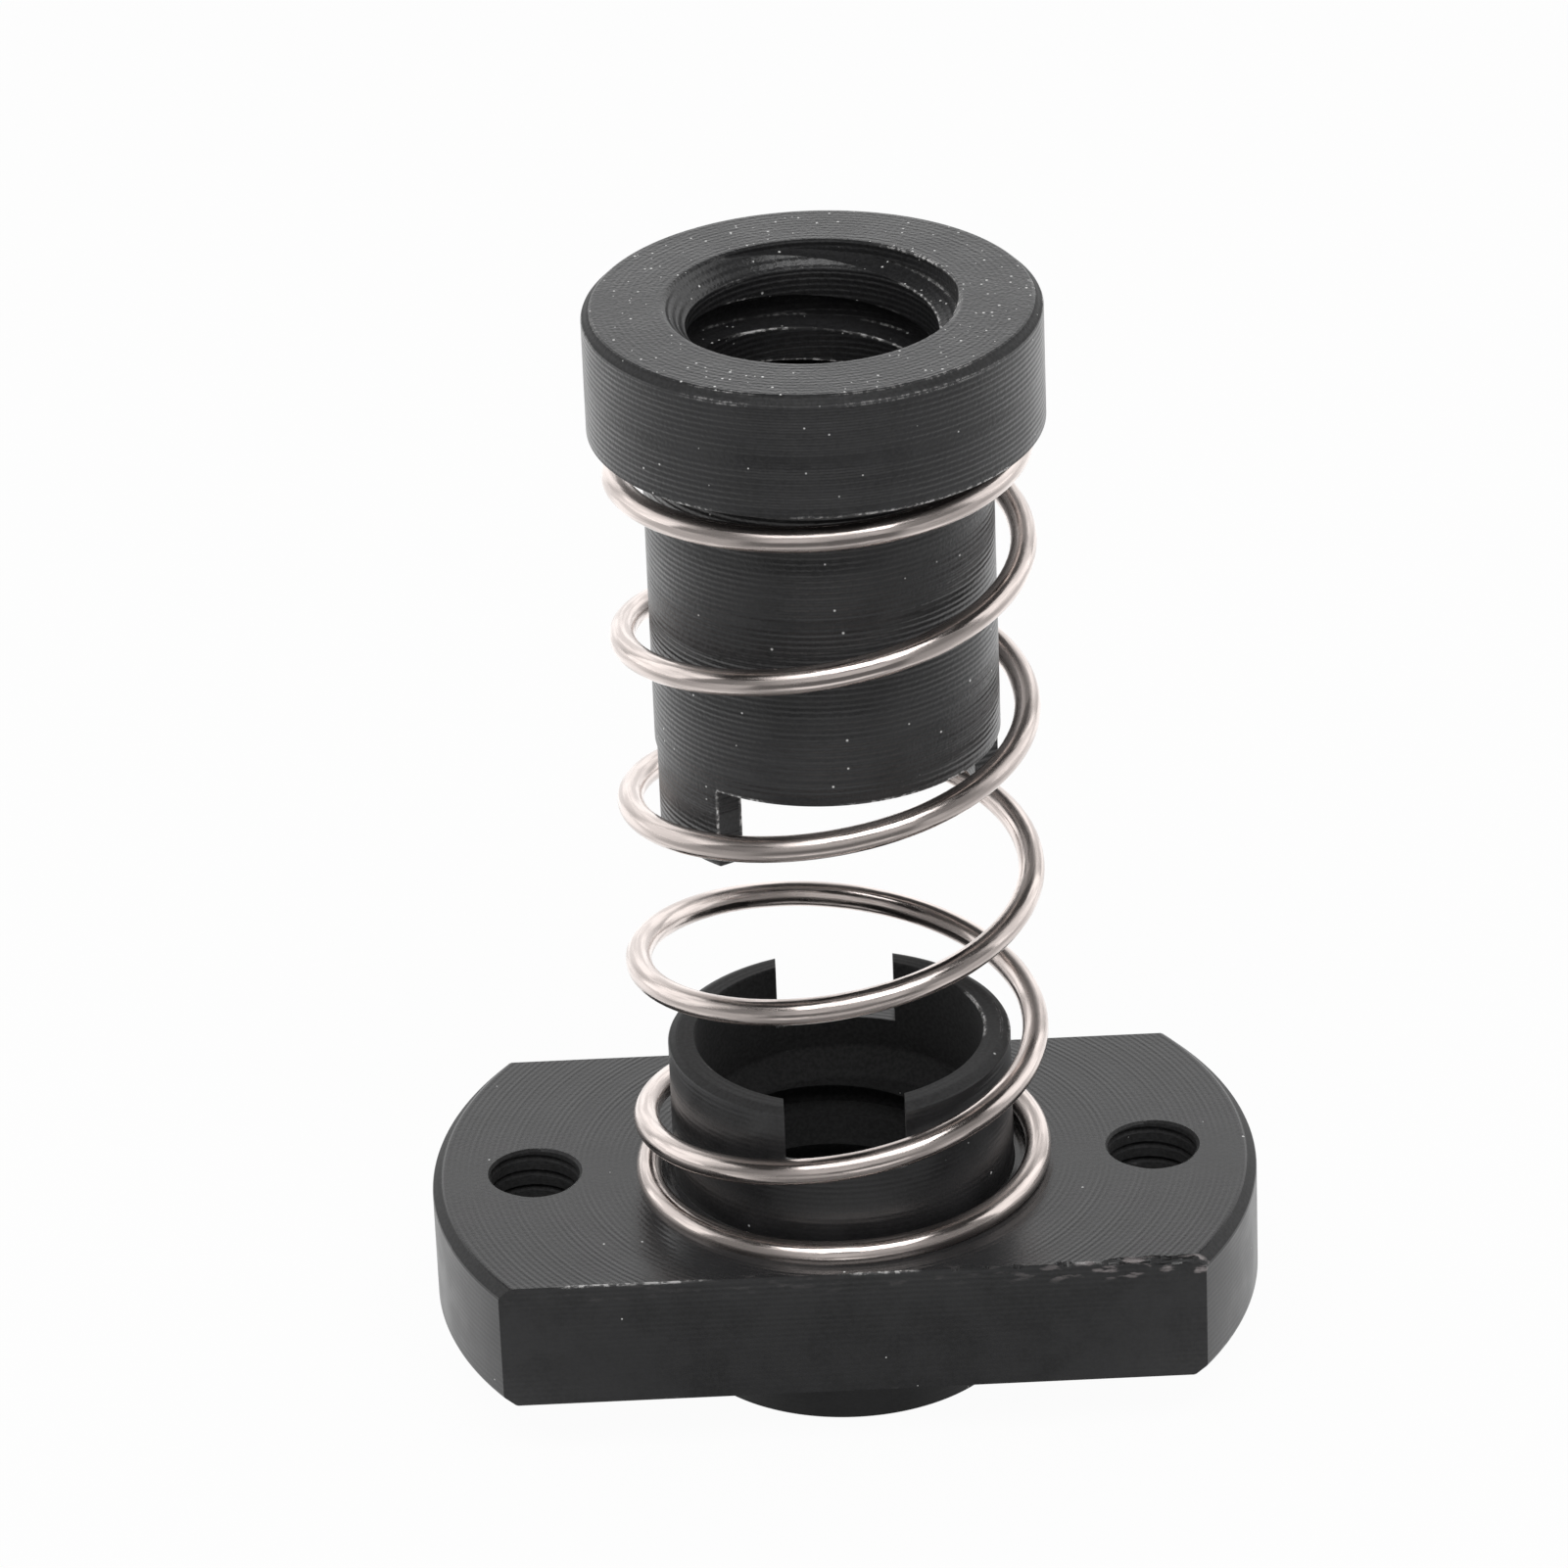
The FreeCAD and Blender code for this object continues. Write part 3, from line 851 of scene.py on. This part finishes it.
def plastic(name, dust, marks, grain_height, burr_and_highlight_share, bore_painted_shade, inner_roughness, scuffed=False):
    """Black turned plastic with tool marks, dust, rough chamfers, and bright edges that are partly burrs
    and partly a painted highlight; painted shade darkens its bores, chamfers and rim.
    """
    finish = settings().finish
    material, tree, shader, place = empty_material(name)
    where, normal, outward = surface_way(tree)
    cloud = noise(tree, place, 700)
    base = blend_colours(
        tree, spread(tree, cloud, 0.35, 0.65), shade(finish.plastic, 0.85), shade(finish.plastic, 1.2),
    )
    roughness = spread(tree, cloud, 0.35, 0.65, *WALL_ROUGHNESS)

    rings = effect(tree, turning_marks, Pitch=finish.ring_pitch, **marks)
    base = blend_colours(
        tree, calculate(tree, "MULTIPLY", rings["Crest"], 0.1), base, shade(finish.plastic, 1.8),
    )

    # Bores and tapped holes take painted shade that darkens their colour, and they are rougher too.
    inside = spread(tree, outward, -1 * MM, 0, 1, 0)
    inside = calculate(tree, "MAXIMUM", inside, in_tapped_holes(tree, place))
    base = blend_colours(tree, inside, base, shade(finish.plastic, bore_painted_shade))
    roughness = choose(tree, inside, roughness, inner_roughness)
    flange_top = on_top_at(tree, where, normal, SPRING_LOW.z)
    roughness = choose(tree, flange_top, roughness, FLANGE_TOP_ROUGHNESS)

    # The chamfers outside and the socket's rim are rough and dull, and painted shade darkens their colour.
    rise = calculate(tree, "ABSOLUTE", normal[2])
    matt_and_painted_shade = calculate(tree, "MULTIPLY", spread(tree, rise, 0.4, 0.6), spread(tree, rise, 0.9, 0.8))
    matt_and_painted_shade = calculate(tree, "MULTIPLY", matt_and_painted_shade, calculate(tree, "GREATER_THAN", outward, 0))
    matt_and_painted_shade = calculate(tree, "MAXIMUM", matt_and_painted_shade, on_top_at(tree, where, normal, FLANGE_HIGH.z))
    base = blend_colours(tree, matt_and_painted_shade, base, shade(finish.plastic, 0.4))
    roughness = choose(tree, matt_and_painted_shade, roughness, MATT_ROUGHNESS)

    grain = spread(tree, noise(tree, place, 9000, 2), 0.3, 0.7, 0, 0.5)
    base = blend_colours(tree, grain, base, shade(finish.plastic, 1.5))
    if scuffed:
        scuffs = edge_scuffs(tree, place)
        base = blend_colours(tree, scuffs, base, shade(finish.scuff))
        roughness = choose(tree, scuffs, roughness, SCUFF_ROUGHNESS)
    # Burrs along the cut edges, with a painted highlight in the same bright colour.
    burrs_and_highlight = effect(tree, edge_burrs_and_highlight, Width=0.12 * MM, Share=burr_and_highlight_share)["Mask"]
    base = blend_colours(tree, calculate(tree, "MULTIPLY", burrs_and_highlight, 0.9), base, shade(finish.burr))
    specks = effect(tree, dust_specks, Cell=0.22 * MM, Radius=0.22, **dust)["Mask"]
    base = blend_colours(tree, specks, base, shade(finish.dust))

    feed(tree, shader.inputs["Base Color"], base)
    feed(tree, shader.inputs["Roughness"], roughness)
    shader.inputs["IOR"].default_value = PLASTIC_IOR
    height = calculate(tree, "MULTIPLY_ADD", grain, grain_height, rings["Height"])
    raise_surface(tree, shader, height, strength=1, depth=0.024 * MM)
    return material


def drawn_streaks():
    """Fine lines along a drawn wire, read from its own unwrapping."""
    tree, given, result = effect_group("drawn_streaks", {"Length": 90, "Lines": 14}, ["Mask"])
    along, around, _ = parts(tree, add_node(tree, "ShaderNodeUVMap", uv_map="wire").outputs[0])
    joined = add_node(tree, "ShaderNodeCombineXYZ")
    feed(tree, joined.inputs[0], calculate(tree, "MULTIPLY", along, given["Length"]))
    turned = calculate(tree, "MULTIPLY", around, math.tau)
    reach = calculate(tree, "MULTIPLY", given["Lines"], 0.16)
    feed(tree, joined.inputs[1], calculate(tree, "MULTIPLY", calculate(tree, "COSINE", turned), reach))
    feed(tree, joined.inputs[2], calculate(tree, "MULTIPLY", calculate(tree, "SINE", turned), reach))
    feed(tree, result["Mask"], spread(tree, noise(tree, joined.outputs[0], 1, 4), 0.38, 0.62))
    return tree


def wire_steel():
    """Drawn and polished steel wire with faint marks along its length."""
    finish = settings().finish
    material, tree, shader, place = empty_material("spring_steel")
    streaks = effect(tree, drawn_streaks, Length=90, Lines=14)["Mask"]
    cloud = noise(tree, place, 500)
    base = blend_colours(
        tree, calculate(tree, "MULTIPLY", streaks, 0.6), shade(finish.steel), shade(finish.steel, 0.6),
    )
    base = blend_colours(
        tree, spread(tree, cloud, 0.55, 0.75, 0, 0.35), base, shade(finish.steel, 0.7),
    )
    feed(tree, shader.inputs["Base Color"], base)
    shader.inputs["Metallic"].default_value = 1
    feed(tree, shader.inputs["Roughness"], spread(tree, streaks, 0, 1, *WIRE_ROUGHNESS))
    raise_surface(tree, shader, streaks, strength=0.5, depth=0.004 * MM)
    return material


def seen_directly(tree):
    """1 for what the camera sees, and for what shows through glass."""
    rays = add_node(tree, "ShaderNodeLightPath")
    return calculate(tree, "MAXIMUM", rays.outputs["Is Camera Ray"], rays.outputs["Is Transmission Ray"])


def floor_material(size):
    """Pale floor, white to the eye, that keeps a faint shadow.

    Gloss finds it brighter behind and beside the nut, and in a short strip before it that lights the wire.
    """
    material, tree, shader, place = empty_material("floor_white")
    shader.inputs["Base Color"].default_value = shade(size.floor_colour)
    shader.inputs["Roughness"].default_value = FLOOR_ROUGHNESS
    x, y, _ = parts(tree, place)
    side = calculate(tree, "ABSOLUTE", x)
    beside = calculate(tree, "MULTIPLY_ADD", side, 1.2, y)
    beside = spread(tree, beside, -5 * MM, 12 * MM, 0.22, 0.95)
    away = calculate(tree, "SUBTRACT", side, y)
    beside = calculate(tree, "MULTIPLY", beside, spread(tree, away, 20 * MM, 45 * MM, 1, 0.55))
    lit = calculate(tree, "ADD", beside, spread(tree, y, -10 * MM, 40 * MM, 0, 0.35))
    strip = spread(tree, y, -38 * MM, -30 * MM)
    strip = calculate(tree, "MULTIPLY", strip, spread(tree, y, -22 * MM, -17 * MM, 1, 0))
    strip = calculate(tree, "MULTIPLY", strip, spread(tree, side, 12 * MM, 24 * MM, 0.75, 0))
    lit = calculate(tree, "ADD", lit, strip)
    glow = add_node(tree, "ShaderNodeEmission")
    feed(tree, glow.inputs["Strength"], choose(tree, seen_directly(tree), lit, 1.0))
    mix = add_node(tree, "ShaderNodeMixShader")
    mix.inputs[0].default_value = FLOOR_GLOW
    tree.links.new(shader.outputs[0], mix.inputs[1])
    tree.links.new(glow.outputs[0], mix.inputs[2])
    output = next(node for node in tree.nodes if node.bl_idname == "ShaderNodeOutputMaterial")
    tree.links.new(mix.outputs[0], output.inputs["Surface"])
    return material


def studio_world():
    """Plain light all round, seen as white; gloss finds it bright behind and dark overhead."""
    world = bpy.data.worlds.new("studio")
    world.use_nodes = True
    tree = world.node_tree
    tree.nodes.clear()
    background = add_node(tree, "ShaderNodeBackground")
    output = add_node(tree, "ShaderNodeOutputWorld")
    tree.links.new(background.outputs[0], output.inputs["Surface"])
    x, y, z = parts(tree, add_node(tree, "ShaderNodeTexCoord").outputs["Generated"])
    behind = spread(tree, y, 0.0, 0.85, 0.75, 1.7)
    overhead = spread(tree, z, 0.45, 0.7, 1.0, 0.05)
    beside = spread(tree, calculate(tree, "ABSOLUTE", x), 0.4, 0.75, 1.0, 0.4)
    lit = calculate(tree, "MULTIPLY", calculate(tree, "MULTIPLY", behind, overhead), beside)
    feed(tree, background.inputs["Strength"], choose(tree, seen_directly(tree), lit, 1.0))
    bpy.context.scene.world = world


def soft_light(name, place, width, height, watts):
    """Rectangular soft light turned towards the middle of the nut."""
    lamp = bpy.data.lights.new(name, "AREA")
    lamp.shape = "RECTANGLE"
    lamp.size = width
    lamp.size_y = height
    lamp.energy = watts
    holder = bpy.data.objects.new(name, lamp)
    holder.location = place
    holder.rotation_euler = (Vector(LAMP_AIM) - Vector(place)).to_track_quat("-Z", "Y").to_euler()
    bpy.context.scene.collection.objects.link(holder)


def place_camera(size):
    """Camera at the photograph's viewpoint, leaning by its roll."""
    turn, rise = size.camera_azimuth, size.camera_elevation
    back = Vector((math.sin(turn) * math.cos(rise), -math.cos(turn) * math.cos(rise), math.sin(rise)))
    right = Vector((math.cos(turn), math.sin(turn), 0))
    up = back.cross(right)
    aim = right * size.aim_side + UP * size.aim_height
    lean = size.camera_roll
    leant_right = right * math.cos(lean) + up * math.sin(lean)
    leant_up = up * math.cos(lean) - right * math.sin(lean)
    camera = bpy.data.objects.new("camera", bpy.data.cameras.new("camera"))
    camera.data.lens = size.camera_lens
    camera.data.clip_start = 10 * MM
    pose = Matrix((leant_right, leant_up, back)).transposed().to_4x4()
    pose.translation = aim + back * size.camera_distance
    camera.matrix_world = pose
    bpy.context.scene.collection.objects.link(camera)
    bpy.context.scene.camera = camera


class NUT_OT_stage(bpy.types.Operator):
    """Set the floor, the soft lights, the world and the camera"""
    bl_idname = "lead_screw_nut.stage"
    bl_label = "Stage"

    def execute(self, context):
        size = settings().stage
        bm = bmesh.new()
        bmesh.ops.create_grid(bm, x_segments=1, y_segments=1, size=1.5)
        bmesh.ops.translate(bm, vec=(0, 0, -0.02 * MM), verts=bm.verts[:])
        floor = mesh_object("floor", bm)
        floor.data.materials.append(floor_material(size))
        studio_world()
        for lamp in LAMPS:
            soft_light(*lamp)
        place_camera(size)
        context.scene.view_settings.view_transform = "Standard"
        return {"FINISHED"}


class NUT_PT_panel(bpy.types.Panel):
    """Every step of the build with the sizes and colours that it uses"""
    bl_idname = "NUT_PT_panel"
    bl_label = "Lead screw nut"
    bl_space_type = "VIEW_3D"
    bl_region_type = "UI"
    bl_category = "Lead screw nut"

    def draw(self, context):
        for name, maker in STEPS.items():
            box = self.layout.box()
            box.operator(maker.bl_idname)
            group = getattr(settings(), name, None)
            for field in group.__annotations__ if group else ():
                box.prop(group, field)


STEPS = {
    "flange_nut": NUT_OT_flange_nut,
    "spring": NUT_OT_spring,
    "sliding_nut": NUT_OT_sliding_nut,
    "stage": NUT_OT_stage,
}
CLASSES = (
    FlangeNutSettings, SlidingNutSettings, ThreadSettings, SpringSettings, FinishSettings, StageSettings,
    LeadScrewNutSettings, *STEPS.values(), NUT_PT_panel,
)


def register():
    for kind in CLASSES:
        bpy.utils.register_class(kind)
    bpy.types.Scene.lead_screw_nut = bpy.props.PointerProperty(type=LeadScrewNutSettings)


def unregister():
    del bpy.types.Scene.lead_screw_nut
    for kind in reversed(CLASSES):
        bpy.utils.unregister_class(kind)


def main():
    """Build everything in order."""
    register()
    bpy.ops.lead_screw_nut.flange_nut()
    bpy.ops.lead_screw_nut.spring()
    bpy.ops.lead_screw_nut.sliding_nut()
    bpy.ops.lead_screw_nut.stage()


if __name__ == "__main__":
    main()
